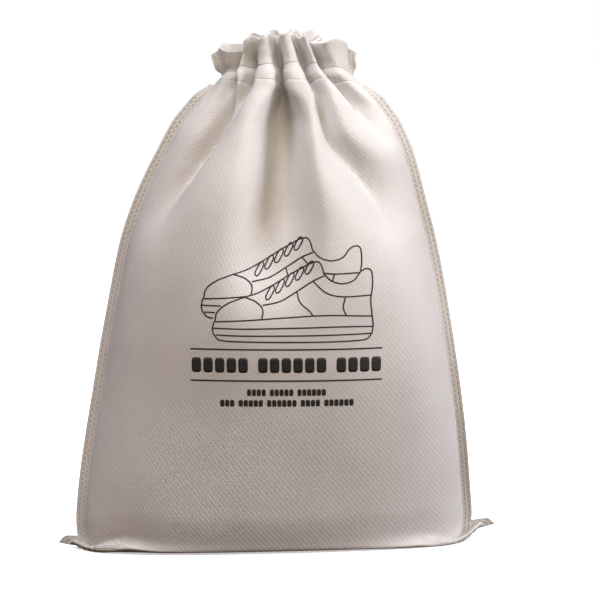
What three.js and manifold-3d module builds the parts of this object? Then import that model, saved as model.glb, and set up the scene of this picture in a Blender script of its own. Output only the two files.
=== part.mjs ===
// A non-woven drawstring shoe bag, standing on its base with its neck drawn closed. The drawstring
// isn't here, only the channel that it runs in.
// Millimetres, +Z up. The front faces -Y. The origin is on the floor, under the middle of the bag.
// The sheet is folded at the bottom and welded up both sides. Its top edge is folded in to make
// the casing that the drawstring runs in, and the heading above the casing flares into a ruffle.
import * as THREE from "three";
import { mergeVertices } from "three/addons/utils/BufferGeometryUtils.js";
import Module from "manifold-3d";

const wasm = await Module();
wasm.setup();

// Driving dimensions
const FLAT_WIDTH = 270; // of the empty bag, from weld edge to weld edge
const FABRIC = 0.5; // one layer of the sheet
const GAP = 0.3; // clearance between pieces that touch
const CASING_LOW = 279; // the weld under the drawstring's channel
const CASING_HIGH = 291; // the weld over the channel
const TOP = 315; // the edge of the ruffle
const NECK_SHIFT = 6; // how far the neck leans to the right of the base
const CASING_PUFF = 3; // how far each wall of the casing stands off its middle
const EXIT_HALF = 2.75; // of the square opening at each side where the drawstring comes out
const WELD_WIDTH = 6; // the side weld's two rows of dashes and its trimmed edge
const WELD_THICKNESS = 0.9; // two layers pressed together
const CORNER_THICKNESS = 1.2; // two loose layers lying on the floor
const CORNER_HALF_DEPTH = 17; // where a corner leaves the base
const CORNER_TIP_HALF_DEPTH = 8;
const INK = 0.3; // the thickness that stands for a layer of ink
const SEGMENTS = 50; // round the bag
const PLEATS = 14; // round the neck
const SQUARENESS = 2.15; // the exponent of the sections, where 2 is an ellipse
const FAR = 400; // larger than the bag, for cutting blocks
const WELD_ROWS = { body: 40, heading: 6 }; // steps up each side weld

// The bag's sections: height, half width, half depth and the height of the pleats.
const STATIONS = [
  { z: 0, width: 112, depth: 36, pleat: 0 },
  { z: 8, width: 117, depth: 42, pleat: 0 },
  { z: 50, width: 113.5, depth: 48, pleat: 0 },
  { z: 100, width: 105, depth: 55, pleat: 0 },
  { z: 150, width: 95.5, depth: 58, pleat: 0 },
  { z: 196, width: 85, depth: 56, pleat: 0.8 },
  { z: 232, width: 69, depth: 47, pleat: 2.2 },
  { z: 258, width: 53, depth: 35, pleat: 3.2 },
  { z: CASING_LOW, width: 37, depth: 24, pleat: 2.2 },
  { z: CASING_HIGH, width: 32, depth: 20.5, pleat: 2 },
  { z: 300, width: 34, depth: 23, pleat: 4.2 },
  { z: TOP, width: 36, depth: 27, pleat: 5 },
];
const BODY_ROWS = [3, 8, 28, 50, 75, 100, 125, 150, 173, 196, 214, 232, 246, 258, 269];
const HEADING_ROWS = [295, 301, 308];

// The prints on the front: their outlines as seen from the front.
const PRINTS = [
  { name: "shoe_print", left: -47, right: 58, low: 124, high: 190 },
  { name: "title_print", left: -53, right: 67, low: 97, high: 120 },
  { name: "caption_print", left: -36, right: 48, low: 83, high: 94 },
];
const PRINT_MARGIN = 30; // above and below a print, enough to take in the rows on each side of it

const fabric = new THREE.MeshStandardMaterial({ color: 0xd6cec6, roughness: 0.75 });
const weld = new THREE.MeshStandardMaterial({ color: 0xcbc2b8, roughness: 0.5 });
const ink = new THREE.MeshStandardMaterial({ color: 0x221f1e, roughness: 0.6 });

const bag = new THREE.Group();

function addPiece(name, solid, material) {
  const mesh = new THREE.Mesh(toGeometry(solid), material);
  mesh.name = name;
  bag.add(mesh);
}

function toSolid(geometry) {
  const bare = geometry.clone();
  bare.deleteAttribute("normal");
  bare.deleteAttribute("uv");
  const merged = mergeVertices(bare, 1e-4);
  return new wasm.Manifold(
    new wasm.Mesh({
      numProp: 3,
      vertProperties: new Float32Array(merged.getAttribute("position").array),
      triVerts: new Uint32Array(merged.index.array),
    }),
  );
}

function toGeometry(solid) {
  const mesh = solid.getMesh();
  const geometry = new THREE.BufferGeometry();
  geometry.setAttribute("position", new THREE.BufferAttribute(mesh.vertProperties, mesh.numProp));
  geometry.setIndex(new THREE.BufferAttribute(mesh.triVerts, 1));
  geometry.computeVertexNormals();
  return geometry;
}

// A smooth curve of one dimension of the sections against height.
function curveOf(dimension) {
  return new THREE.SplineCurve(STATIONS.map((s) => new THREE.Vector2(s.z, s[dimension])));
}

const curves = { width: curveOf("width"), depth: curveOf("depth"), pleat: curveOf("pleat") };

function dimensionAt(dimension, z) {
  const curve = curves[dimension];
  let low = 0;
  let high = 1;
  for (let step = 0; step < 30; step++) {
    const middle = (low + high) / 2;
    if (curve.getPoint(middle).x < z) low = middle;
    else high = middle;
  }
  return curve.getPoint(high).y;
}

function centreAt(z) {
  return NECK_SHIFT * THREE.MathUtils.smoothstep(z, 0, CASING_LOW);
}

// The point of the bag's middle surface at an angle and height, moved out along its normal.
function surfacePoint(angle, z, offset) {
  const width = dimensionAt("width", z);
  const depth = dimensionAt("depth", z);
  const power = 2 / SQUARENESS;
  const across = Math.sign(Math.cos(angle)) * Math.abs(Math.cos(angle)) ** power * width;
  const along = Math.sign(Math.sin(angle)) * Math.abs(Math.sin(angle)) ** power * depth;
  const normal = new THREE.Vector2(across / width ** 2, along / depth ** 2).normalize();
  const pleat = dimensionAt("pleat", z) * Math.cos(PLEATS * angle);
  return new THREE.Vector3(
    centreAt(z) + across + normal.x * (offset + pleat),
    along + normal.y * (offset + pleat),
    z,
  );
}

// A solid that fills the bag between the first and last height, with its side moved out by
// offset(z). It is a turned unit cylinder whose points are carried to the bag's surface.
function filledBag(heights, offset) {
  const outline = [
    new THREE.Vector2(0, heights[0]),
    ...heights.map((z) => new THREE.Vector2(1, z)),
    new THREE.Vector2(0, heights.at(-1)),
  ];
  const geometry = new THREE.LatheGeometry(outline, SEGMENTS).rotateX(Math.PI / 2);
  const position = geometry.getAttribute("position");
  for (let i = 0; i < position.count; i++) {
    const z = position.getZ(i);
    const onAxis = Math.hypot(position.getX(i), position.getY(i)) < 0.5;
    const angle = Math.atan2(position.getY(i), position.getX(i));
    const point = onAxis
      ? new THREE.Vector3(centreAt(z), 0, z)
      : surfacePoint(angle, Math.min(z, TOP), offset(z));
    position.setXYZ(i, point.x, point.y, z);
  }
  return toSolid(geometry);
}

function block(xLow, xHigh, yLow, yHigh, zLow, zHigh) {
  const geometry = new THREE.BoxGeometry(xHigh - xLow, yHigh - yLow, zHigh - zLow);
  geometry.translate((xLow + xHigh) / 2, (yLow + yHigh) / 2, (zLow + zHigh) / 2);
  return toSolid(geometry);
}

// The blocks that part the front from the back, which meet at the side welds and the bottom fold.
const halves = {
  front: block(-FAR, FAR, -FAR, -GAP / 2, -1, FAR),
  back: block(-FAR, FAR, GAP / 2, FAR, -1, FAR),
};

// The two walls of the body, each with its half of the base.
function addPanels() {
  const top = CASING_LOW - GAP / 2;
  const outer = filledBag([0, ...BODY_ROWS, top], () => FABRIC / 2);
  const inner = filledBag([FABRIC, ...BODY_ROWS, top, top + 1], () => -FABRIC / 2);
  const wall = outer.subtract(inner);
  for (const [side, half] of Object.entries(halves)) {
    addPiece(`${side}_panel`, wall.intersect(half), fabric);
  }
}

// Half the width of the channel at a height: a half ellipse between the two casing welds.
function puffAt(z) {
  const middle = (CASING_LOW + CASING_HIGH) / 2;
  const reach = (z - middle) / ((CASING_HIGH - CASING_LOW) / 2);
  return CASING_PUFF * Math.sqrt(Math.max(0, 1 - reach * reach));
}

// The casing: an outer wall and the folded-in hem, welded together above and below the channel.
function addCasings() {
  const low = CASING_LOW + GAP / 2;
  const high = CASING_HIGH - GAP / 2;
  const heights = [0.04, 0.25, 0.5, 0.75, 0.96].map((t) => low + (high - low) * t);
  const whole = [low, ...heights, high];
  const outside = filledBag(whole, (z) => puffAt(z) + FABRIC);
  const inside = filledBag([low - 1, ...whole, high + 1], (z) => -puffAt(z) - FABRIC);
  const channel = filledBag(heights, puffAt).subtract(
    filledBag([heights[0] - 1, ...heights, heights.at(-1) + 1], (z) => -puffAt(z)),
  );
  const casing = outside.subtract(inside).subtract(channel).subtract(cordExit(-1)).subtract(cordExit(1));
  for (const [side, half] of Object.entries(halves)) {
    addPiece(`${side}_casing`, casing.intersect(half), fabric);
  }
}

// The opening through the casing's outer wall at one side of the neck.
function cordExit(side) {
  const z = (CASING_LOW + CASING_HIGH) / 2;
  const middle = surfacePoint(side > 0 ? 0 : Math.PI, z, 0).x;
  const ends = [middle, middle + side * 4 * CASING_PUFF].sort((a, b) => a - b);
  return block(ends[0], ends[1], -EXIT_HALF, EXIT_HALF, z - EXIT_HALF, z + EXIT_HALF);
}

// The ruffle over the casing, two layers thick because the sheet is folded at its edge.
function addHeadings() {
  const low = CASING_HIGH + GAP / 2;
  const heights = [low, ...HEADING_ROWS, TOP];
  const outer = filledBag(heights, () => FABRIC);
  const inner = filledBag([low - 1, ...heights, TOP + 1], () => -FABRIC);
  const ruffle = outer.subtract(inner);
  for (const [side, half] of Object.entries(halves)) {
    addPiece(`${side}_heading`, ruffle.intersect(half), fabric);
  }
}

// One strip of side weld, standing out from the bag's side in the plane of the fold.
function sideWeld(side, zLow, zHigh, rows) {
  const steps = Array.from({ length: rows + 1 }, (_, i) => zLow + ((zHigh - zLow) * i) / rows);
  const edge = (z, out) => {
    const reach = dimensionAt("width", z) + dimensionAt("pleat", z) + out;
    return new THREE.Vector2(centreAt(z) + side * reach, z);
  };
  const outline = [
    ...steps.map((z) => edge(z, -FABRIC)),
    ...steps.reverse().map((z) => edge(z, WELD_WIDTH)),
  ];
  const geometry = new THREE.ExtrudeGeometry(new THREE.Shape(outline), {
    depth: WELD_THICKNESS,
    bevelEnabled: false,
  });
  return toSolid(geometry.rotateX(Math.PI / 2).translate(0, WELD_THICKNESS / 2, 0));
}

function addSideWelds() {
  const bodyLow = CORNER_THICKNESS + GAP;
  const bodyHigh = CASING_LOW - GAP;
  const rounded = filledBag([0, ...BODY_ROWS, bodyHigh + 1], () => FABRIC / 2 + GAP);
  const flared = filledBag([CASING_HIGH, ...HEADING_ROWS, TOP], () => FABRIC + GAP);
  for (const [name, side] of [["left", -1], ["right", 1]]) {
    const bodyStrip = sideWeld(side, bodyLow, bodyHigh, WELD_ROWS.body);
    addPiece(`${name}_body_weld`, bodyStrip.subtract(rounded), weld);
    const headingStrip = sideWeld(side, CASING_HIGH + GAP, TOP, WELD_ROWS.heading);
    addPiece(`${name}_heading_weld`, headingStrip.subtract(flared), weld);
  }
}

// A bottom corner that the filling doesn't reach, lying flat on the floor.
function addCorners() {
  const base = filledBag([-1, 0, 3, 8, 25], () => FABRIC / 2 + GAP);
  for (const [name, side] of [["left", -1], ["right", 1]]) {
    const tip = (side * FLAT_WIDTH) / 2;
    const root = side * (STATIONS[0].width - CORNER_HALF_DEPTH);
    const tongue = new THREE.Shape();
    tongue.moveTo(root, -CORNER_HALF_DEPTH);
    tongue.bezierCurveTo(
      side * STATIONS[1].width,
      -CORNER_HALF_DEPTH,
      tip,
      -CORNER_HALF_DEPTH,
      tip,
      -CORNER_TIP_HALF_DEPTH,
    );
    tongue.lineTo(tip, CORNER_TIP_HALF_DEPTH);
    tongue.bezierCurveTo(
      tip,
      CORNER_HALF_DEPTH,
      side * STATIONS[1].width,
      CORNER_HALF_DEPTH,
      root,
      CORNER_HALF_DEPTH,
    );
    const geometry = new THREE.ExtrudeGeometry(tongue, {
      depth: CORNER_THICKNESS,
      bevelEnabled: false,
      curveSegments: 10,
    });
    addPiece(`${name}_corner`, toSolid(geometry).subtract(base), fabric);
  }
}

// The ink on the front, each print as a thin layer over the panel.
function addPrints() {
  const clear = FABRIC / 2 + GAP;
  for (const { name, left, right, low, high } of PRINTS) {
    const rows = BODY_ROWS.filter((z) => z > low - PRINT_MARGIN && z < high + PRINT_MARGIN);
    const outer = filledBag(rows, () => clear + INK);
    const inner = filledBag([rows[0] - 1, ...rows, rows.at(-1) + 1], () => clear);
    addPiece(name, outer.subtract(inner).intersect(block(left, right, -FAR, 0, low, high)), ink);
  }
}

addPanels();
addCasings();
addHeadings();
addSideWelds();
addCorners();
addPrints();

export default bag;
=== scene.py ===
"""A non-woven drawstring shoe bag, standing filled with its neck gathered closed.

The bag is cut flat: two panels joined at the bottom fold and up both side welds. A cloth simulation
brings that flat pattern to its standing shape, and each region of the sheet then becomes a piece.
Metres, +Z up, and the front faces -Y. A place on the sheet is (across, up), measured on the pattern.
"""

import math

import bpy
import numpy as np
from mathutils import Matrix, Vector


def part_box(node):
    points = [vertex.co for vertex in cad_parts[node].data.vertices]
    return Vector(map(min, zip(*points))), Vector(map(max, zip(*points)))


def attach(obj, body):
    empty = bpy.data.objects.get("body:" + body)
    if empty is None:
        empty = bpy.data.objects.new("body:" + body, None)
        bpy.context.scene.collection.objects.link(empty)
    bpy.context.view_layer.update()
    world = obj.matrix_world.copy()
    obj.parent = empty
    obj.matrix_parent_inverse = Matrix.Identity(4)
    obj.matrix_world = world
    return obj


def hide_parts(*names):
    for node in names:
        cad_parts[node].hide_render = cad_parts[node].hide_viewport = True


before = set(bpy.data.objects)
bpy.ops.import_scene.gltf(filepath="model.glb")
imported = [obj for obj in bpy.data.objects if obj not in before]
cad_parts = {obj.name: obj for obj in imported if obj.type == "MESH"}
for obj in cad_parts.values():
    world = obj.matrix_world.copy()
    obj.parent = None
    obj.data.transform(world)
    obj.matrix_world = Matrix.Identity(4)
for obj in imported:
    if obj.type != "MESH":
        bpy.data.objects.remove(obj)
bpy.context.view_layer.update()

MM = 0.001

# The flat pattern
PANEL_WIDTH = 258 * MM  # between the side welds
PANEL_LENGTH = 364 * MM  # from the bottom fold to the edge of the ruffle
COLUMNS = 74  # cells across one panel
ROWS = 104  # cells up a panel
CASING_LOW = 329 * MM  # up the sheet, the weld under the drawstring's channel
CASING_HIGH = 342 * MM  # the weld over it
FABRIC = 0.45 * MM
CORNERS = (14 * MM, 18 * MM)  # how much of each side seam lies on the floor, left and right
CORNER_PUFF = 3 * MM  # between the two layers of a corner
CORNER_LIFTS = (2 * MM, 7 * MM)  # how far the tips stand up off the floor, left and right
BASE_TURN = 0.12  # how much the base is turned, its left end forward
TURN_HEIGHT = 120 * MM  # where that turn has faded out
BASE = 35 * MM  # half the depth of sheet that lies under the bag
BASE_CORNER = 45 * MM  # how far from a seam the base reaches that depth

WELD_WIDTH = 6 * MM
WELD_FABRIC = 0.8 * MM  # both walls, pressed together
HEM_FABRIC = 0.9 * MM  # two layers, where the top edge is folded in
CASING_PUFF = 0.6 * MM  # how far the two layers of the casing stand apart

# The standing shape
# The sides and the depth at each height: left, right and half depth, in millimetres.
STATIONS = [
    (0, -116, 113, 31),
    (8, -121, 116, 37),
    (44, -119, 114, 43),
    (68, -115, 112, 47),
    (98, -109, 107, 52),
    (122, -105, 103, 56),
    (150, -99, 98, 59),
    (172, -95, 94, 60),
    (200, -88, 88, 60),
    (224, -78, 82, 57),
    (238, -70, 78, 52),
    (256, -62, 71, 44),
    (270, -50, 61, 37),
    (280, -41, 52, 31),
    (286, -35, 46, 27.5),
    (290, -32, 43, 24.5),
    (294, -31, 42, 21.5),
    (299, -33, 42, 20.5),
    (308, -35, 41, 21.5),
    (322, -39, 43, 25),
]
SQUARENESS = 2.15  # the exponent of the sections, where 2 is an ellipse
OUTLINE_POINTS = 721
TABLE_REACH = (1.5 * MM, 14.5 * MM)  # the height over which the tables' corners are evened out
REACH_NARROWS = (205 * MM, 275 * MM)  # between these heights that goes from the second to the first
LEVELS = 150  # how many sections the standing shape is worked out from
ABOVE_RUFFLE = 7 * MM  # how far above the ruffle they go on
CASING_Z = 290.5 * MM  # where the middle of the casing comes to on the pleats
CASING_ARCH = 6 * MM  # how much lower it is in the valleys between them
TOP_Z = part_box("front_heading")[1][2]  # the edge of the ruffle

# How a valley is shaped: the higher this exponent, the flatter its floor and the steeper its walls
PLEAT, CREASE, TROUGH = 2.5, 1.3, 3
VALLEY_REACH = 0.55  # where its depth has fallen to a third, as a share of its width
PLEATS_END = (262 * MM, 280 * MM)  # between these heights the pleats turn into creases and troughs
# The valleys between the pleats. Each comes down from the ruffle's edge through these places, given
# as height, x, width, and its share of the spare cloth.
FRONT_FOLDS = [
    (CREASE, [(320, -26, 7, 0.6), (290, -29, 7, 1), (277, -32, 8, 1.2), (262, -39, 11, 1.4),
              (248, -46, 14, 1.3), (232, -58, 18, 1.1), (218, -67, 22, 0.9), (206, -73, 26, 0.3),
              (192, -76, 32, 0)]),
    (CREASE, [(320, -16.5, 6, 1), (290, -18, 7, 1), (280, -22, 7, 1), (266, -29, 8, 0.8),
              (252, -36, 12, 0.3), (238, -44, 20, 0)]),
    (TROUGH, [(320, -4, 5, 1), (290, 1, 6, 1), (281, 2, 6, 1.2), (272, 3, 15, 2.2), (262, 2.5, 22, 2.8),
              (248, 2, 25, 2.6), (232, 1, 28, 2.3), (215, 0, 31, 1.9), (192, -2, 38, 0.9),
              (155, -3, 46, 0)]),
    (CREASE, [(320, 7.5, 5, 0.8), (290, 19, 7, 1), (277, 27, 6, 1), (262, 29, 8, 1.1), (250, 33, 12, 1.2),
              (240, 43, 24, 1.2), (228, 56, 33, 1.1), (216, 63, 36, 0.8), (204, 67, 38, 0.25),
              (190, 69, 42, 0)]),
    (CREASE, [(320, 18.5, 6, 1), (290, 31, 7, 1.1), (281, 41, 8, 1.2), (270, 54, 10, 1.1),
              (258, 62, 12, 0.6), (246, 68, 16, 0)]),
]
BACK_FOLDS = [
    (CREASE, [(320, -28, 7, 1), (290, -22, 7, 1), (268, -38, 13, 1), (240, -56, 24, 0.7),
              (200, -72, 40, 0.2), (140, -78, 60, 0)]),
    (TROUGH, [(320, -13, 6, 1), (290, -11, 6, 1), (268, -17, 12, 1), (235, -27, 26, 1),
              (190, -36, 46, 0.6), (130, -38, 60, 0)]),
    (CREASE, [(320, 3, 6, 1), (290, 2, 6, 1), (268, 1, 12, 0.8), (240, -1, 20, 0.5), (200, -2, 40, 0.2),
              (150, -2, 50, 0)]),
    (TROUGH, [(320, 18, 6, 1), (290, 15, 6, 1), (268, 20, 12, 1), (235, 29, 28, 1.1), (185, 36, 50, 0.8),
              (125, 38, 60, 0)]),
    (CREASE, [(320, 33, 7, 1), (290, 29, 7, 1), (268, 43, 13, 1), (240, 60, 24, 0.7), (200, 74, 40, 0.2),
              (140, 78, 60, 0)]),
]
DEEPEST_FOLD = 34 * MM
DEPTH_HALVINGS = 24  # how often the range of depths is halved to find the one that uses the spare cloth
FOLDS_FADE = (125 * MM, 225 * MM)  # between these heights the folds come in
SHALLOWEST = 0.08  # how near a valley's bottom may come to the middle plane, to its outline's distance
RUFFLE_DROP = 9 * MM  # how much lower the ruffle's ends are than its middle
RUFFLE_DROP_POWER = 2.5  # how much of that is near the ends
CASING_ARCH_POWER = 1.5
LIFT_OFF = (0.7, 1.15)  # where the sheet leaves the floor, to how much of it lies there
FLOOR_GAP = 0.3 * MM

# The simulation
PLEAT_START = 190 * MM  # above this height the hold on the sheet changes to that of the neck
SIM_FRAMES = 45
STAND_FRAME = 20  # when the held points reach the standing shape
HOLD_BODY = 0.6
HOLD_SEAM = 0.85
HOLD_NECK = 0.7
HOLD_RUFFLE = 0.85
SIM_QUALITY = 5
SIM_GRAVITY = 0.2
FLAT_GAP = 0.2 * MM  # how far each panel of the flat pattern is from the middle plane
EVENING = 8  # how many times the simulation's movement is averaged with its neighbours
CLOTH = {
    "mass": 0.1,
    "tension_stiffness": 40,
    "compression_stiffness": 1,
    "shear_stiffness": 10,
    "bending_stiffness": 300,
    "tension_damping": 15,
    "compression_damping": 15,
    "shear_damping": 15,
    "air_damping": 2,
    "use_pressure": True,
    "uniform_pressure_force": 0.5,
}

# The pieces
SIDES = ((-1, "front"), (1, "back"))
MESH = 1.75 * MM  # the size of the finished mesh's cells
NORMAL_STEP = 0.4 * MM  # how far apart the points are that give the cloth's direction
EDGE_RINGS = (0.6, 0.3, 0.1)  # the rows that round the ruffle's edge, in thicknesses from it
EDGE_THINNING = 0.85
CORNER_SIZE = 17.5 * MM  # the square of the sheet that makes one half of a corner
DASH_ROWS = ((1.7 * MM, 0), (4.1 * MM, 0.5))  # how far out from the seam, and the shift along it
WELD_SMOOTHING = 36  # how many steps each way the direction of a weld is evened out over
WELD_FOLD = 22 * MM  # how near the cord's exits the welds fold back
WELD_STEP = 0.42 * MM  # the size of a weld's cells, along it
WELD_CELL = 0.32 * MM  # and across it
WELD_OVERLAP = 0.4 * MM  # how far a weld reaches in over its seam
TIP_PULL = 2.5  # how strongly a weld points straight out at the corner's tip
SWAY, SWAY_WAVE = 0.14, 23 * MM  # how a weld waves to the front and back along its length
EXIT_SWAY = 1.4  # how far back it turns at the cord's exits
EXIT_NARROWING = 0.35
DASH_PITCH = 3.4 * MM
DASH_LENGTH = 2.2 * MM
DASH_DEPTH = 0.26 * MM
DASH_ENDS = (0.42, 0.58)  # where a dash fades out along it, in dash lengths
DASH_SIDES = (0.25 * MM, 0.55 * MM)  # and to its sides
BOND_PITCH = 1.15 * MM  # the rows of bond points
BOND_STRETCH = 2.1  # how much further apart they are along the rows
BOND_ANGLE = math.radians(52)
# The colour of a weld in its pressed dashes: partly the fused fabric's own tone, partly painted shade in
# the pressed grooves
PRESSED_TONE_AND_SHADE = (0.49, 0.455, 0.42)

# The light: each lamp's name, place, aim, size, power in watts and colour
ROOM_COLOUR, ROOM_LIGHT = (1, 0.5, 0.3), 0.07
FLOOR_GLOW = (0.5, 0.5, 0.5)
GLOW_RISES = (0.15, 0.5)  # how far from the bag the floor's glow starts and ends growing to white
LIGHTS = (
    ("window", (1.6, -0.55, 0.9), (0, 0, 0.15), (0.8, 0.8), 27.5, (0.91, 0.93, 1)),
    ("fill", (-1.3, -0.9, 0.9), (0, 0, 0.15), (1, 1), 3, (1, 0.72, 0.44)),
    ("above", (-0.5, -0.5, 1.2), (0, 0, 0.2), (0.5, 0.5), 9.5, (0.82, 0.86, 1)),
    ("near", (0.15, -0.65, 0.75), (0, 0, 0.25), (0.5, 0.5), 3.4, (1, 0.86, 0.66)),
    ("low", (1.5, -0.8, 0.25), (0, 0, 0.1), (0.6, 0.6), 3, (1, 0.97, 0.98)),
    ("back", (0.2, 0.9, 1.4), (0, 0, 0.15), (1, 1), 22, (1, 0.98, 0.96)),
)

# The prints, with their x and z on the standing bag in millimetres
LINE = 0.8
RULE = 0.9
STROKE_STEP = 0.8
INK_HEIGHT = 0.14 * MM
INK_SINK = 0.03 * MM
PRINT_LEFT, PRINT_RIGHT = -51.6, 61.6
RULES = (127.5, 108.6)
TITLE_ROW = (118, 9, (5, 6, 4))  # middle, height and the number of tiles in each group
GROUP_GAP = 0.7  # between groups of tiles, in tiles
TILE_WIDTH = 0.82  # of the room for each tile
TILE_POINTS = 24
TILE_SQUARENESS = 0.45
TILE_RINGS = (1, 0.7, 0.4, 0.12)
CAPTION_ROWS = (  # left, right, and the same three
    (-18.5, 28.5, 101.5, 4, (4, 5, 6)),
    (-34.5, 45, 95, 4, (3, 5, 6, 4, 6)),
)
SHOE_PLACE = np.array([-38.5, 132.5])
SHOE_SIZE = 0.955  # of the drawing as its points give it
FAR_SHOE_SHIFT = np.array([-6.5, 13.5])
LACES = 5
LACE_START, LACE_STEP = np.array([35.5, 29.5]), np.array([6.1, 3.9])
LACE_TILT = math.radians(62)
LACE_REACH, LACE_WIDTH = 4.6, 1.5  # half its length and half its width
PLACING_ROUNDS, PLACING_SHARE = 14, 0.8  # how a place on the sheet is moved until it shows at x and z


def smoothstep(low, high, x):
    t = np.clip((x - low) / (high - low), 0, 1)
    return t * t * (3 - 2 * t)


def between(z, heights, values):
    """A value at a height, from values at some heights, with the corners evened out below the neck."""
    short, long = TABLE_REACH
    reach = short + (long - short) * (1 - smoothstep(*REACH_NARROWS, z))
    return np.interp(z + reach * np.linspace(-1, 1, 9), heights, values).mean()


def station(column, z):
    table = np.array(STATIONS, float) * MM
    return between(z, table[:, 0], table[:, column])


def along_spline(points, share):
    """Points at the given shares of the length of a smooth curve through the given points."""
    points = np.array(points, float)
    padded = np.vstack([2 * points[0] - points[1], points, 2 * points[-1] - points[-2]])
    dense = []
    for a, b, c, d in zip(padded, padded[1:], padded[2:], padded[3:]):
        t = np.linspace(0, 1, 24, endpoint=False)[:, None]
        dense.append(0.5 * (2 * b + (c - a) * t + (2 * a - 5 * b + 4 * c - d) * t**2
                            + (3 * b - a - 3 * c + d) * t**3))
    dense = np.vstack([*dense, points[-1:]])
    length = np.concatenate([[0], np.cumsum(np.linalg.norm(np.diff(dense, axis=0), axis=1))])
    return np.stack([np.interp(share * length[-1], length, dense[:, k]) for k in range(2)], axis=-1)


def distances(points):
    """How far along a line of points each of them is."""
    steps = np.linalg.norm(np.diff(points, axis=0), axis=-1)
    return np.concatenate([np.zeros_like(steps[:1]), np.cumsum(steps, axis=0)])


def section(z, side):
    """One row of the sheet round the standing bag at a height; side is -1 front, 1 back.

    The spare cloth goes into the valleys, which are made just deep enough to use it up.
    """
    left, right, depth = (station(k, z) for k in (1, 2, 3))
    turn = np.linspace(0, np.pi, OUTLINE_POINTS)
    power = 2 / SQUARENESS
    x = (left + right) / 2 - (right - left) / 2 * np.sign(np.cos(turn)) * np.abs(np.cos(turn)) ** power
    y = side * depth * np.sin(turn) ** power
    outline = np.stack([x, y], axis=-1)
    length = distances(outline)
    along = np.gradient(outline, axis=0)
    along /= np.linalg.norm(along, axis=1, keepdims=True)
    inward = np.stack([along[:, 1], -along[:, 0]], axis=-1) * side
    valleys = np.zeros(len(turn))
    for steepness, fold in FRONT_FOLDS if side < 0 else BACK_FOLDS:
        steepness += (PLEAT - steepness) * smoothstep(*PLEATS_END, z)
        table = np.array(fold[::-1], float)
        place, width, taken = (between(z, table[:, 0] * MM, table[:, k]) for k in (1, 2, 3))
        offset = (length - np.interp(place * MM, x, length)) / (width * MM)
        valleys += taken * np.exp(-np.abs(offset / VALLEY_REACH) ** steepness)
    spare = (PANEL_WIDTH - length[-1]) * smoothstep(*FOLDS_FADE, z)
    low, high = 0, DEEPEST_FOLD
    for _ in range(DEPTH_HALVINGS):
        middle = (low + high) / 2
        folded = outline + inward * (valleys * middle)[:, None]
        folded[:, 1] = side * np.maximum(side * folded[:, 1], SHALLOWEST * np.abs(y))
        used = distances(folded)[-1]
        low, high = (middle, high) if used < length[-1] + spare else (low, middle)
    used = distances(folded)
    at = np.linspace(0, used[-1], COLUMNS + 1)
    return np.stack([np.interp(at, used, folded[:, 0]), np.interp(at, used, folded[:, 1]),
                     np.full(COLUMNS + 1, z)], axis=-1)


def lying(side, share, up):
    """A row of the sheet as it lies under the bag, each corner folded along its diagonal in two."""
    across = share * PANEL_WIDTH
    to_edge = np.minimum(across, PANEL_WIDTH - across)
    outward = np.sign(share - 0.5)
    corner, lift = (np.where(outward < 0, *pair) for pair in (CORNERS, CORNER_LIFTS))
    over = to_edge < up
    tip = 1 - smoothstep(0, corner, np.maximum(up, to_edge))
    return np.column_stack([
        outward * (PANEL_WIDTH / 2 - np.where(over, up, to_edge)),
        side * np.where(over, to_edge, up),
        FLOOR_GAP + lift * tip + np.where(over, CORNER_PUFF, 0),
    ])


def on_the_floor(share):
    """How much of each column of the sheet lies on the floor."""
    across = share * PANEL_WIDTH
    to_edge = np.minimum(across, PANEL_WIDTH - across)
    corner = np.where(share < 0.5, *CORNERS)
    return corner + (BASE - corner) * smoothstep(0, BASE_CORNER, to_edge)


def standing_panel(side):
    """Where one panel of the sheet stands before the simulation, as [row, column from the left]."""
    levels = np.linspace(0, TOP_Z + ABOVE_RUFFLE, LEVELS)
    climb = np.array([section(z, side) for z in levels])
    climbed = distances(climb)
    columns = range(COLUMNS + 1)
    at_casing = np.array([np.interp(CASING_Z, levels, climbed[:, k]) for k in columns])
    forward = np.abs(section(CASING_Z, side)[:, 1])
    at_casing -= CASING_ARCH * (1 - forward / forward.max()) ** CASING_ARCH_POWER
    share = np.linspace(0, 1, COLUMNS + 1)
    ends = np.abs(2 * share - 1) ** RUFFLE_DROP_POWER
    ground = on_the_floor(share)
    casing_middle = (CASING_LOW + CASING_HIGH) / 2
    slack = at_casing / (casing_middle - ground)
    rows = []
    for up in np.arange(ROWS + 1) * PANEL_LENGTH / ROWS:
        at = at_casing + (up - casing_middle) * (slack if up < casing_middle else 1)
        row = np.array([[np.interp(at[k], climbed[:, k], climb[:, k, axis]) for axis in range(3)]
                        for k in columns])
        row[:, 2] -= RUFFLE_DROP * smoothstep(CASING_LOW, PANEL_LENGTH, up) * ends
        flat = lying(side, share, up)
        row[:, 2] = np.maximum(row[:, 2], flat[:, 2])
        leaving, left = (part * ground for part in LIFT_OFF)
        row = flat + (row - flat) * smoothstep(leaving, left, up)[:, None]
        row[:, 1] += BASE_TURN * row[:, 0] * (1 - smoothstep(0, TURN_HEIGHT, row[:, 2]))
        rows.append(row)
    return np.array(rows)


def sheet_index(i, j):
    """The vertex of the tube of cloth at column i, counted round from the left weld, and row j."""
    i = i % (2 * COLUMNS)
    if j == 0:
        return min(i, 2 * COLUMNS - i)
    return COLUMNS + 1 + (j - 1) * 2 * COLUMNS + i


def tube(front, back):
    """The tube of cloth made of two panels, in the order of sheet_index."""
    points = np.zeros((sheet_index(2 * COLUMNS - 1, ROWS) + 1, 3))
    for j in range(ROWS + 1):
        for k in range(COLUMNS + 1):
            points[sheet_index(2 * COLUMNS - k, j)] = back[j, k]
            points[sheet_index(k, j)] = front[j, k]
    return points


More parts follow.
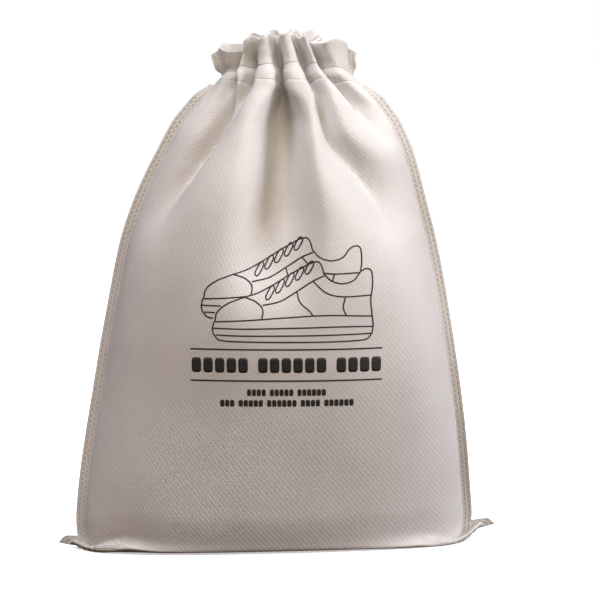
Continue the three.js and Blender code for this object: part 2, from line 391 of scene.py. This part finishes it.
def flat_panel(side):
    across, up = np.meshgrid((np.arange(COLUMNS + 1) / COLUMNS - 0.5) * PANEL_WIDTH,
                             np.arange(ROWS + 1) * PANEL_LENGTH / ROWS)
    return np.stack([across, np.full_like(up, side * FLAT_GAP), up], axis=-1)


def hold(points):
    """How firmly each vertex of the cloth is held to the standing shape, from 0 to 1."""
    weights = np.zeros(len(points))
    for j in range(ROWS + 1):
        up = j * PANEL_LENGTH / ROWS
        for i in range(2 * COLUMNS):
            k = sheet_index(i, j)
            if up < CORNERS[0] or CASING_LOW <= up <= CASING_HIGH:
                weights[k] = 1
            elif up < CASING_LOW and i % COLUMNS == 0:
                weights[k] = HOLD_SEAM
            elif up < CASING_LOW:
                weights[k] = HOLD_BODY + (HOLD_NECK - HOLD_BODY) * smoothstep(
                    PLEAT_START, CASING_Z, points[k][2])
            else:
                weights[k] = HOLD_RUFFLE
    return weights


def simulate(standing):
    """The tube of cloth after it has moved from its flat pattern to its standing shape."""
    faces = [
        [sheet_index(i, j), sheet_index(i + 1, j), sheet_index(i + 1, j + 1), sheet_index(i, j + 1)]
        for j in range(ROWS) for i in range(2 * COLUMNS)
    ]
    mesh = bpy.data.meshes.new("cloth")
    mesh.from_pydata(tube(flat_panel(-1), flat_panel(1)).tolist(), [], faces)
    cloth = bpy.data.objects.new("cloth", mesh)
    bpy.context.scene.collection.objects.link(cloth)
    cloth.shape_key_add(name="flat")
    stand = cloth.shape_key_add(name="stand")
    stand.data.foreach_set("co", standing.ravel())
    group = cloth.vertex_groups.new(name="hold")
    for k, weight in enumerate(hold(standing)):
        if weight:
            group.add([k], float(weight), "REPLACE")
    modifier = cloth.modifiers.new("settle", "CLOTH")
    settings = modifier.settings
    settings.vertex_group_mass = "hold"
    settings.quality = SIM_QUALITY
    for name, value in CLOTH.items():
        setattr(settings, name, value)
    settings.effector_weights.gravity = SIM_GRAVITY
    modifier.collision_settings.use_collision = False
    modifier.collision_settings.use_self_collision = False
    modifier.point_cache.frame_end = SIM_FRAMES
    scene = bpy.context.scene
    scene.frame_start, scene.frame_end = 1, SIM_FRAMES
    for number, value in ((1, 0), (STAND_FRAME, 1)):
        stand.value = value
        stand.keyframe_insert("value", frame=number)
    for number in range(1, SIM_FRAMES + 1):
        scene.frame_set(number)
    settled = cloth.evaluated_get(bpy.context.evaluated_depsgraph_get()).to_mesh()
    points = np.zeros(len(standing) * 3)
    settled.vertices.foreach_get("co", points)
    points = points.reshape(-1, 3)
    scene.frame_set(1)
    bpy.data.objects.remove(cloth)
    return points


def evened(grid):
    """A grid of vectors round the tube, with fine differences between neighbours evened out."""
    for _ in range(EVENING):
        beside = np.roll(grid, 1, axis=1) + np.roll(grid, -1, axis=1)
        padded = np.concatenate([grid[:1], grid, grid[-1:]])
        grid = (grid + (beside + padded[2:] + padded[:-2]) / 4) / 2
    return grid


def settled_panels():
    """The settled cloth as two grids, front and back, indexed [row, column from the left]."""
    standing = tube(standing_panel(-1), standing_panel(1))
    index = np.array([[sheet_index(i, j) for i in range(2 * COLUMNS)] for j in range(ROWS + 1)])
    around = standing[index]
    around = around + evened(simulate(standing)[index] - around)
    from_behind = np.roll(around[:, ::-1], 1, axis=1)
    return {-1: around[:, :COLUMNS + 1], 1: from_behind[:, :COLUMNS + 1]}


def make_camera():
    """The camera, standing back from the front of the bag and a little above its middle."""
    distance, elevation = 1.4, math.radians(6)
    view_width = 367 * MM  # what the picture spans at the bag's middle plane
    target = np.array([13, 0, 151]) * MM
    data = bpy.data.cameras.new("camera")
    data.sensor_width = 36
    data.lens = data.sensor_width * distance / view_width
    data.clip_end = 20
    camera = bpy.data.objects.new("camera", data)
    bpy.context.scene.collection.objects.link(camera)
    camera.location = target + distance * np.array([0, -math.cos(elevation), math.sin(elevation)])
    camera.rotation_euler = (math.pi / 2 - elevation, 0, 0)
    bpy.context.scene.camera = camera


def make_light(name, place, target, size, energy, colour):
    data = bpy.data.lights.new(name, "AREA")
    data.shape = "RECTANGLE"
    data.size, data.size_y = size
    data.energy = energy
    data.color = colour
    light = bpy.data.objects.new(name, data)
    bpy.context.scene.collection.objects.link(light)
    light.location = place
    aim = Vector(np.array(target) - np.array(place))
    light.rotation_euler = aim.to_track_quat("-Z", "Y").to_euler()


def backdrop_material():
    """A white surface that gives off its own light, so that no horizon shows."""
    material, shader = new_material("backdrop")
    shader.inputs["Base Color"].default_value = (0, 0, 0, 1)
    shader.inputs["Emission Color"].default_value = (1, 1, 1, 1)
    shader.inputs["Emission Strength"].default_value = 1
    return material


def floor_material():
    """A white floor that glows more further out, so that it runs into the backdrop."""
    material, shader = new_material("floor")
    shader.inputs["Base Color"].default_value = (0.9, 0.9, 0.9, 1)
    shader.inputs["Roughness"].default_value = 0.9
    shader.inputs["Emission Strength"].default_value = 1
    place = material.node_tree.nodes.new("ShaderNodeTexCoord")
    distance = material.node_tree.nodes.new("ShaderNodeVectorMath")
    distance.operation = "LENGTH"
    material.node_tree.links.new(place.outputs["Object"], distance.inputs[0])
    start, end = GLOW_RISES
    glow = ramp(material, distance.outputs["Value"], (start, FLOOR_GLOW), (end, (1, 1, 1)))
    material.node_tree.links.new(glow, shader.inputs["Emission Color"])
    return material


def make_stage():
    """A white floor and backdrop that don't colour the bag, a warm dim room and soft lamps."""
    bpy.ops.mesh.primitive_plane_add(size=12)
    floor = bpy.context.object
    floor.data.materials.append(floor_material())
    bpy.ops.mesh.primitive_uv_sphere_add(segments=48, ring_count=24, radius=7)
    backdrop = bpy.context.object
    backdrop.data.materials.append(backdrop_material())
    for kind in ("diffuse", "glossy", "transmission"):
        for piece in (floor, backdrop):
            setattr(piece, f"visible_{kind}", False)
    backdrop.visible_shadow = False
    for name, piece in (("floor", floor), ("backdrop", backdrop)):
        piece.name = name
    world = bpy.data.worlds.new("room")
    bpy.context.scene.world = world
    world.use_nodes = True
    world.node_tree.nodes["Background"].inputs["Color"].default_value = (*ROOM_COLOUR, 1)
    world.node_tree.nodes["Background"].inputs["Strength"].default_value = ROOM_LIGHT
    bpy.context.scene.view_settings.view_transform = "Standard"
    for light in LIGHTS:
        make_light(*light)


def spline_weights(t):
    """How much each of four points in a row counts, at a share of the way between the middle two."""
    return 0.5 * np.array([-t + 2 * t**2 - t**3, 2 - 5 * t**2 + 3 * t**3,
                           t + 4 * t**2 - 3 * t**3, -t**2 + t**3])


def sample(grid, row, column):
    """Points of the smooth surface through a grid of points, at fractional rows and columns."""
    base_row = np.clip(np.floor(row).astype(int), 1, grid.shape[0] - 3)
    base_column = np.clip(np.floor(column).astype(int), 1, grid.shape[1] - 3)
    row_weights = spline_weights(row - base_row)
    column_weights = spline_weights(column - base_column)
    total = np.zeros((*row.shape, 3))
    for a in range(4):
        for b in range(4):
            share = (row_weights[a] * column_weights[b])[..., None]
            total += share * grid[base_row + a - 1, base_column + b - 1]
    return total


def with_margin(grid):
    """The grid with one more row and column carried on straight past each of its edges."""
    for axis in (0, 1):
        grid = np.moveaxis(grid, axis, 0)
        grid = np.concatenate([2 * grid[:1] - grid[1:2], grid, 2 * grid[-1:] - grid[-2:-1]])
        grid = np.moveaxis(grid, 0, axis)
    return grid


def cloth_at(side, across, up):
    """Points of the settled cloth and its outward normals, at places on the sheet."""
    def point(da, du):
        return sample(SHEETS[side], (up + du) / PANEL_LENGTH * ROWS + 1,
                      (across + da) / PANEL_WIDTH * COLUMNS + 1)
    step = NORMAL_STEP
    normals = np.cross(point(step, 0) - point(-step, 0), point(0, step) - point(0, -step)) * -side
    lengths = np.linalg.norm(normals, axis=-1, keepdims=True)
    return point(0, 0), normals / np.maximum(lengths, 1e-12)


def grid_quads(rows, columns, keep=None, flip=False):
    """The four corners of each cell of a grid, flipped where the grid is seen from its other side."""
    row, column = np.meshgrid(np.arange(rows - 1), np.arange(columns - 1), indexing="ij")
    if keep is not None:
        row, column = row[keep], column[keep]
    corner = (row * columns + column).ravel()
    quads = np.stack([corner, corner + 1, corner + columns + 1, corner + columns], axis=-1)
    return quads[:, ::-1] if flip else quads


def solid(points, normals, quads, outward, inward, flat):
    """A closed sheet of cloth or ink: its vertices, quads, which of those are rims, and flat places."""
    quads = np.asarray(quads)
    used = np.unique(quads)
    place = np.full(len(points), -1)
    place[used] = np.arange(len(used))
    quads = place[quads]
    points, normals, flat = points[used], normals[used], flat[used]
    outward, inward = (np.broadcast_to(t, (len(place),))[used][:, None] for t in (outward, inward))
    count = len(used)
    edges = {(a, b) for quad in quads.tolist() for a, b in zip(quad, quad[1:] + quad[:1])}
    rims = [(b, a, a + count, b + count) for a, b in sorted(edges) if (b, a) not in edges]
    vertices = np.concatenate([points + normals * outward, points - normals * inward])
    return vertices, quads, quads[:, ::-1] + count, rims, np.concatenate([flat, flat])


def make_piece(node_name, solids, material, slot, pressed=None):
    """The piece that replaces a CAD node, made of closed sheets, with the pattern's places as UVs."""
    name = f"{node_name}_{'ink' if slot == 'black_ink' else 'cloth'}"
    vertices, faces, smooth, flat = [], [], [], []
    for points, outer, inner, rims, places in solids:
        start = len(vertices)
        vertices.extend(points.tolist())
        flat.extend(places.tolist())
        for group, rounded in ((outer, True), (inner, True), (rims, False)):
            faces.extend([[start + v for v in quad] for quad in group])
            smooth.extend([rounded] * len(group))
    mesh = bpy.data.meshes.new(name)
    mesh.from_pydata(vertices, [], faces)
    mesh.polygons.foreach_set("use_smooth", smooth)
    corners = np.zeros(len(mesh.loops), int)
    mesh.loops.foreach_get("vertex_index", corners)
    mesh.uv_layers.new(name="flat").data.foreach_set("uv", np.array(flat)[corners].ravel())
    if pressed is not None:
        mesh.attributes.new("pressed", "FLOAT", "POINT").data.foreach_set("value", pressed)
    mesh.materials.append(material)
    piece = bpy.data.objects.new(name, mesh)
    bpy.context.scene.collection.objects.link(piece)
    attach(piece, "root")
    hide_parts(node_name)
    return piece


def steps(*stops, size):
    """Evenly spaced values between each pair of stops, no further apart than size."""
    values = [stops[0]]
    for low, high in zip(stops, stops[1:]):
        count = max(1, math.ceil((high - low) / size - 1e-6))
        values.extend(low + (high - low) * np.arange(1, count + 1) / count)
    return np.array(values)


def layer(side, across, up, keep=None, outward=FABRIC / 2, inward=FABRIC / 2):
    """The part of a panel over a grid of places. keep and the thicknesses are functions of place."""
    across_grid, up_grid = np.meshgrid(across, up)
    points, normals = cloth_at(side, across_grid, up_grid)
    cells = None
    if keep is not None:
        cells = keep(*((places[1:, 1:] + places[:-1, :-1]) / 2 for places in (across_grid, up_grid)))
    quads = grid_quads(len(up), len(across), cells, flip=side > 0)
    outward, inward = (t(up_grid).ravel() if callable(t) else t for t in (outward, inward))
    flat = np.stack([across_grid + (side > 0) * 2 * PANEL_WIDTH, up_grid], axis=-1).reshape(-1, 2)
    return solid(points.reshape(-1, 3), normals.reshape(-1, 3), quads, outward, inward, flat)


def outside_corners(across, up):
    return (np.minimum(across, PANEL_WIDTH - across) >= CORNER_SIZE) | (up >= CORNER_SIZE)


def make_panels():
    across = steps(0, CORNER_SIZE, PANEL_WIDTH - CORNER_SIZE, PANEL_WIDTH, size=MESH)
    up = steps(0, CORNER_SIZE, CASING_LOW, size=MESH)
    for side, name in SIDES:
        walls = layer(side, across, up, keep=outside_corners)
        panel = make_piece(f"{name}_panel", [walls], FABRIC_MATERIAL, "nonwoven_fabric")


def make_corners():
    up = steps(0, CORNER_SIZE, size=MESH / 2)
    for low, name in ((0, "left"), (PANEL_WIDTH - CORNER_SIZE, "right")):
        across = steps(low, low + CORNER_SIZE, size=MESH / 2)
        halves = [layer(side, across, up) for side, _ in SIDES]
        corner = make_piece(f"{name}_corner", halves, FABRIC_MATERIAL, "nonwoven_fabric")


def make_casings():
    """The drawstring's channel: two layers that stand apart between their welds."""
    def puffed(up):
        part = np.clip((up - CASING_LOW) / (CASING_HIGH - CASING_LOW), 0, 1)
        welded = FABRIC / 2 + (HEM_FABRIC - FABRIC) / 2 * part
        return welded + CASING_PUFF * np.sin(np.pi * part) ** 1.5
    across = steps(0, PANEL_WIDTH, size=MESH)
    up = steps(CASING_LOW, CASING_HIGH, size=MESH / 2)
    for side, name in SIDES:
        channel = layer(side, across, up, outward=puffed, inward=HEM_FABRIC / 2)
        casing = make_piece(f"{name}_casing", [channel], FABRIC_MATERIAL, "nonwoven_fabric")


def make_headings():
    """The ruffle: two layers, thinner at the fold along its edge."""
    def rounded(up):
        part = np.clip((PANEL_LENGTH - up) / HEM_FABRIC, 0, 1)
        return HEM_FABRIC / 2 * np.sqrt(1 - (1 - part) ** 2 * EDGE_THINNING)
    across = steps(0, PANEL_WIDTH, size=MESH)
    up = steps(CASING_HIGH, PANEL_LENGTH - HEM_FABRIC, PANEL_LENGTH, size=MESH)
    up = np.concatenate([up, PANEL_LENGTH - HEM_FABRIC * np.array(EDGE_RINGS)])
    for side, name in SIDES:
        ruffle = layer(side, across, np.sort(up), outward=rounded, inward=rounded)
        heading = make_piece(f"{name}_heading", [ruffle], FABRIC_MATERIAL, "nonwoven_fabric")


def dashes(along, out):
    """How deep each place on a weld is pressed, from 0 to 1: two rows of dashes."""
    depth = np.zeros(np.broadcast(along, out).shape)
    for row, shift in DASH_ROWS:
        length = (along / DASH_PITCH + shift) % 1 - 0.5
        ends = 1 - smoothstep(*(DASH_LENGTH / DASH_PITCH * end for end in DASH_ENDS), np.abs(length))
        depth += ends * (1 - smoothstep(*DASH_SIDES, np.abs(out - row)))
    return depth


def near_exit(up):
    """How near a place up the sheet is to the drawstring's exits, from 0 to 1."""
    return 1 - smoothstep(0, WELD_FOLD, np.abs(up - (CASING_LOW + CASING_HIGH) / 2))


def weld_run(edge, low, high):
    """The seam at one edge of the panels: its points, and the way the weld stands out from it."""
    up = steps(low, high, size=WELD_STEP)
    across = np.full_like(up, edge)
    outward = math.copysign(1, edge - PANEL_WIDTH / 2)
    seam, away = np.zeros((len(up), 3)), np.zeros((len(up), 3))
    for side, _ in SIDES:
        points, normals = cloth_at(side, across, up)
        leaving = points - cloth_at(side, across - outward * MM, up)[0]
        seam += points / 2
        away += normals + leaving / np.linalg.norm(leaving, axis=1, keepdims=True)
    # At the tip of the corner the weld points straight out.
    away[:, 0] += outward * TIP_PULL * (1 - smoothstep(0, CORNER_SIZE, up))
    window = np.hanning(2 * WELD_SMOOTHING + 1)
    padded = np.pad(away, ((WELD_SMOOTHING, WELD_SMOOTHING), (0, 0)), mode="edge")
    window /= window.sum()
    away = np.stack([np.convolve(padded[:, k], window, "valid") for k in range(3)], axis=-1)
    sway = SWAY * np.sin(up / SWAY_WAVE + edge / MM) + EXIT_SWAY * near_exit(up)
    away[:, 1] += sway * np.linalg.norm(away, axis=1)
    return up, seam, away / np.linalg.norm(away, axis=1, keepdims=True)


def make_weld(name, edge, low, high):
    """The two walls pressed together into a strip outside the seam, with dashes pressed into it."""
    up, seam, away = weld_run(edge, low, high)
    out = steps(-WELD_OVERLAP, WELD_WIDTH, size=WELD_CELL)
    width = 1 - EXIT_NARROWING * near_exit(up)
    points = seam[:, None] + away[:, None] * (out[None] * width[:, None])[..., None]
    points[..., 2] = np.maximum(points[..., 2], WELD_FABRIC)
    along = np.gradient(seam, axis=0)
    right = edge > PANEL_WIDTH / 2
    normals = np.cross(away, along) if right else np.cross(along, away)
    normals /= np.linalg.norm(normals, axis=1, keepdims=True)
    normals = np.repeat(normals[:, None], len(out), axis=1).reshape(-1, 3)
    depth = dashes(up[:, None], out[None]).ravel()
    thickness = WELD_FABRIC / 2 - DASH_DEPTH * depth
    across = edge + out[None] * (1 if right else -1)
    flat = np.stack(np.broadcast_arrays(across, up[:, None]), axis=-1).reshape(-1, 2)
    quads = grid_quads(len(up), len(out), flip=not right)
    strip = solid(points.reshape(-1, 3), normals, quads, thickness, thickness, flat)
    # How deep each place is pressed; the weld's material darkens by this, partly as painted shade in the
    # dashes
    pressed = np.concatenate([depth, depth])
    make_piece(name, [strip], WELD_MATERIAL, "welded_seam", pressed)


def make_welds():
    for edge, side in ((0, "left"), (PANEL_WIDTH, "right")):
        make_weld(f"{side}_body_weld", edge, 0, CASING_LOW)
        make_weld(f"{side}_heading_weld", edge, CASING_HIGH, PANEL_LENGTH)


def sheet_places(front_view):
    """The places on the sheet whose x and z on the standing bag are the given ones, in millimetres."""
    wanted = np.asarray(front_view, float) * MM
    places = wanted + [PANEL_WIDTH / 2, 0]
    for _ in range(PLACING_ROUNDS):
        points = cloth_at(-1, places[:, 0], places[:, 1])[0]
        places = places + PLACING_SHARE * (wanted - points[:, [0, 2]])
    return places


def ink(front_view, quads):
    """A film of ink on the front, over places given by their x and z in millimetres."""
    places = sheet_places(front_view)
    points, normals = cloth_at(-1, places[:, 0], places[:, 1])
    return solid(points, normals, quads, FABRIC / 2 + INK_HEIGHT, -(FABRIC / 2 - INK_SINK), places)


def stroke(path, width=LINE):
    """A line of ink along a path."""
    path = np.asarray(path, float)
    length = distances(path)
    count = max(2, math.ceil(length[-1] / STROKE_STEP) + 1)
    at = np.linspace(0, length[-1], count)
    path = np.stack([np.interp(at, length, path[:, k]) for k in range(2)], axis=-1)
    ahead = np.gradient(path, axis=0)
    ahead /= np.linalg.norm(ahead, axis=1, keepdims=True)
    left = np.stack([-ahead[:, 1], ahead[:, 0]], axis=-1) * width / 2
    places = np.stack([path - left, path + left], axis=1).reshape(-1, 2)
    first = 2 * np.arange(count - 1)
    return ink(places, np.stack([first, first + 2, first + 3, first + 1], axis=-1))


def curve(points, count=60):
    return along_spline(points, np.linspace(0, 1, count))


def tile(centre, size):
    """A filled tile of ink with rounded ends, as rings that shrink towards its middle."""
    count = TILE_POINTS
    turn = np.linspace(0, 2 * np.pi, count, endpoint=False)
    squared = np.stack([np.cos(turn), np.sin(turn)], axis=-1)
    squared = np.sign(squared) * np.abs(squared) ** TILE_SQUARENESS * np.array(size) / 2
    places = np.concatenate([np.array(centre) + squared * scale for scale in TILE_RINGS])
    here = np.arange(count)
    ahead = (here + 1) % count
    core = count * (len(TILE_RINGS) - 1)
    quads = [np.stack([here + start, ahead + start, ahead + start + count, here + start + count], axis=-1)
             for start in range(0, core, count)]
    fan = [(core + k, core + k + 1, core + count - 2 - k, core + count - 1 - k)
           for k in range(count // 2 - 1)]
    return ink(places, np.concatenate([*quads, fan]))


def shoe_strokes():
    """A plain low shoe, toe to the left, drawn from its own outline. Millimetres from its heel line."""
    sole = [(1, 12), (0, 7), (2, 2.5), (9, 0), (50, -0.6), (90, 0), (97, 2.5), (99, 8), (98.5, 15)]
    upper = [(1.5, 12), (3, 18), (9, 23), (18, 26.5), (28, 29.5), (38, 34.5), (48, 40.5), (56, 45)]
    tongue = [(56, 45), (60, 47.5), (65, 49), (67.5, 46), (68.5, 42)]
    collar = [(68.5, 42), (73, 37.5), (80, 35.5), (87, 37.5), (91, 42.5), (95, 44.5), (98, 42.5),
              (98.6, 34), (97.5, 25), (98.5, 15)]
    outline = [sole, upper, tongue, collar]
    lines = [
        [(1, 12), (20, 12.8), (45, 14.5), (70, 16), (98.5, 15)],
        [(0.5, 8), (20, 7.6), (50, 8.2), (80, 8.8), (99, 8.5)],
        [(2, 3.8), (20, 3.3), (50, 3.4), (80, 3.8), (97.5, 4.2)],
        [(20, 27), (27, 24), (31, 19.5), (30.5, 13.5)],
        [(31, 22), (42, 24.5), (53, 31), (62, 37), (69, 40.5)],
        [(52, 30.5), (54, 24), (60, 18.5), (62, 15.6)],
        [(62, 37), (70, 30), (80, 27.5), (97.5, 28)],
        [(82, 27.5), (80.5, 21), (82.5, 15.8)],
    ]
    return [curve(line) for line in outline], [curve(line) for line in lines]


def laces():
    """Five laces across the throat of the shoe, each a narrow loop."""
    turn = np.linspace(0, 2 * np.pi, 31)[:, None]
    across = np.array([math.cos(LACE_TILT), math.sin(LACE_TILT)])
    aside = np.array([-across[1], across[0]])
    blunt = np.sign(np.cos(turn)) * np.abs(np.cos(turn)) ** 0.6
    loop = blunt * across * LACE_REACH + np.sin(turn) * aside * LACE_WIDTH
    return [LACE_START + k * LACE_STEP + loop for k in range(LACES)]


def inside(points, outline):
    """Which points lie inside a closed outline."""
    after = np.roll(outline, -1, axis=0)
    x, y = points[:, :1], points[:, 1:]
    crosses = (outline[:, 1] > y) != (after[:, 1] > y)
    rise = np.where(after[:, 1] == outline[:, 1], 1, after[:, 1] - outline[:, 1])
    at = outline[:, 0] + (y - outline[:, 1]) * (after[:, 0] - outline[:, 0]) / rise
    return (crosses & (x < at)).sum(axis=1) % 2 == 1


def visible_runs(path, outline):
    """The stretches of a path that lie outside an outline."""
    dense = curve(path, 160) if len(path) < 60 else path
    shown = ~inside(dense, outline)
    runs, start = [], None
    for k, seen in enumerate([*shown, False]):
        if seen and start is None:
            start = k
        elif not seen and start is not None:
            if k - start > 3:
                runs.append(dense[start:k])
            start = None
    return runs


def make_shoe_print():
    """Two shoes: a near one, and a far one that shows only outside its outline."""
    outline, lines = shoe_strokes()
    near = [path * SHOE_SIZE + SHOE_PLACE for path in outline + lines + laces()]
    around = np.concatenate(outline) * SHOE_SIZE + SHOE_PLACE
    shown = [run for path in near for run in visible_runs(path + FAR_SHOE_SHIFT, around)]
    solids = [stroke(path) for path in near + shown]
    make_piece("shoe_print", solids, INK_MATERIAL, "black_ink")


def row_of_tiles(left, right, middle, height, groups):
    """Plain tiles in groups, spread evenly from left to right."""
    units = sum(groups) + GROUP_GAP * (len(groups) - 1)
    width = (right - left) / units
    at, tiles = left, []
    for count in groups:
        for _ in range(count):
            tiles.append(tile((at + width / 2, middle), (width * TILE_WIDTH, height)))
            at += width
        at += width * GROUP_GAP
    return tiles


def make_text_prints():
    rules = [stroke([(PRINT_LEFT, up), (PRINT_RIGHT, up)], width=RULE) for up in RULES]
    title = row_of_tiles(PRINT_LEFT, PRINT_RIGHT, *TITLE_ROW)
    make_piece("title_print", rules + title, INK_MATERIAL, "black_ink")
    caption = [made for row in CAPTION_ROWS for made in row_of_tiles(*row)]
    make_piece("caption_print", caption, INK_MATERIAL, "black_ink")


def node(material, kind, links=(), **values):
    """A new shader node, with values set on its inputs and links made into them."""
    made = material.node_tree.nodes.new(f"ShaderNode{kind}")
    for name, value in values.items():
        made.inputs[name.replace("_", " ")].default_value = value
    for name, output in links:
        material.node_tree.links.new(output, made.inputs[name])
    return made


def ramp(material, value, *stops):
    """A colour ramp through (position, colour) stops."""
    made = node(material, "ValToRGB", [("Fac", value)])
    elements = made.color_ramp.elements
    while len(elements) < len(stops):
        elements.new(0.5)
    for element, (position, colour) in zip(elements, stops):
        element.position = position
        element.color = (*colour, 1)
    return made.outputs["Color"]


def math_node(material, operation, *values):
    """A shader node that works on numbers, each of them a constant or another node's output."""
    made = material.node_tree.nodes.new("ShaderNodeMath")
    made.operation = operation
    for socket, value in zip(made.inputs, values):
        if isinstance(value, (int, float)):
            socket.default_value = value
        else:
            material.node_tree.links.new(value, socket)
    return made.outputs[0]


def bond_points(material):
    """The fabric's diagonal rows of bond points, from 0 to 1, laid out on the flat pattern."""
    place = material.node_tree.nodes.new("ShaderNodeUVMap")
    place.uv_map = "flat"
    turned = node(material, "Mapping", [("Vector", place.outputs["UV"])], Rotation=(0, 0, BOND_ANGLE))
    apart = node(material, "SeparateXYZ", [("Vector", turned.outputs["Vector"])])
    waves = []
    for axis, pitch in (("X", BOND_PITCH), ("Y", BOND_PITCH * BOND_STRETCH)):
        turn = math_node(material, "MULTIPLY", apart.outputs[axis], 2 * math.pi / pitch)
        waves.append(math_node(material, "SINE", turn))
    both = math_node(material, "MULTIPLY_ADD", waves[1], 0.35, waves[0])
    return math_node(material, "MULTIPLY_ADD", both, 0.37, 0.5), place.outputs["UV"]


def new_material(name):
    material = bpy.data.materials.new(name)
    material.use_nodes = True
    return material, material.node_tree.nodes["Principled BSDF"]


def pressed_tone_shade_and_shine(material, colour, roughness):
    """The colour and roughness of a weld: smoother where it is pressed, and darker there, partly the
    fused fabric's own tone and partly painted shade in the dashes.
    """
    links = material.node_tree.links
    mark = material.node_tree.nodes.new("ShaderNodeAttribute")
    mark.attribute_name = "pressed"
    mix = material.node_tree.nodes.new("ShaderNodeMix")
    mix.data_type = "RGBA"
    links.new(mark.outputs["Fac"], mix.inputs["Factor"])
    plain, pressed = (socket for socket in mix.inputs if socket.type == "RGBA")
    links.new(colour, plain)
    pressed.default_value = (*PRESSED_TONE_AND_SHADE, 1)
    mixed = next(socket for socket in mix.outputs if socket.type == "RGBA")
    smoother = math_node(material, "MULTIPLY", mark.outputs["Fac"], 0.25)
    return mixed, math_node(material, "SUBTRACT", roughness, smoother)


def fabric_material(name, dark, light, pressed=False):
    """Non-woven fabric: bond points, fine fibres and cloudy patches where it is denser."""
    material, shader = new_material(name)
    links = material.node_tree.links
    bonds, place = bond_points(material)
    clouds = node(material, "TexNoise", [("Vector", place)], Scale=26.0, Detail=3.0).outputs["Fac"]
    fibres = node(material, "TexNoise", [("Vector", place)], Scale=1500.0, Detail=2.0).outputs["Fac"]
    tone = math_node(material, "MULTIPLY", bonds, 0.42)
    tone = math_node(material, "MULTIPLY_ADD", fibres, 0.3, tone)
    tone = math_node(material, "MULTIPLY_ADD", clouds, 0.5, tone)
    colour = ramp(material, tone, (0.3, dark), (0.72, light))
    height = math_node(material, "MULTIPLY", fibres, 0.5)
    height = math_node(material, "MULTIPLY_ADD", bonds, 0.8, height)
    strength = 0.35 if pressed else 1.0
    bump = node(material, "Bump", [("Height", height)], Strength=strength, Distance=0.2 * MM)
    links.new(bump.outputs["Normal"], shader.inputs["Normal"])
    shinier = math_node(material, "MULTIPLY", bonds, 0.14)
    roughness = math_node(material, "SUBTRACT", 0.66, shinier)
    if pressed:
        # Welds: darker in their pressed dashes, partly own tone and partly painted shade, and smoother
        # there
        colour, roughness = pressed_tone_shade_and_shine(material, colour, roughness)
    links.new(colour, shader.inputs["Base Color"])
    links.new(roughness, shader.inputs["Roughness"])
    shader.inputs["Sheen Weight"].default_value = 0.15
    shader.inputs["Sheen Roughness"].default_value = 0.5
    return material


def ink_material():
    """Matte black ink that follows the fabric's bond points."""
    material, shader = new_material("black_ink")
    links = material.node_tree.links
    bonds, place = bond_points(material)
    grain = node(material, "TexNoise", [("Vector", place)], Scale=900.0, Detail=2.0).outputs["Fac"]
    colour = ramp(material, grain, (0.35, (0.012, 0.011, 0.011)), (0.8, (0.045, 0.042, 0.04)))
    links.new(colour, shader.inputs["Base Color"])
    bump = node(material, "Bump", [("Height", bonds)], Strength=0.4, Distance=0.1 * MM)
    links.new(bump.outputs["Normal"], shader.inputs["Normal"])
    roughness = math_node(material, "MULTIPLY_ADD", grain, 0.2, 0.5)
    links.new(roughness, shader.inputs["Roughness"])
    return material


make_camera()
make_stage()
FABRIC_MATERIAL = fabric_material("nonwoven_fabric", (0.55, 0.53, 0.51), (0.72, 0.7, 0.685))
WELD_MATERIAL = fabric_material("welded_seam", (0.53, 0.505, 0.48), (0.69, 0.665, 0.64), True)
INK_MATERIAL = ink_material()

SHEETS = {side: with_margin(grid) for side, grid in settled_panels().items()}
make_panels()
make_corners()
make_casings()
make_headings()
make_welds()
make_shoe_print()
make_text_prints()
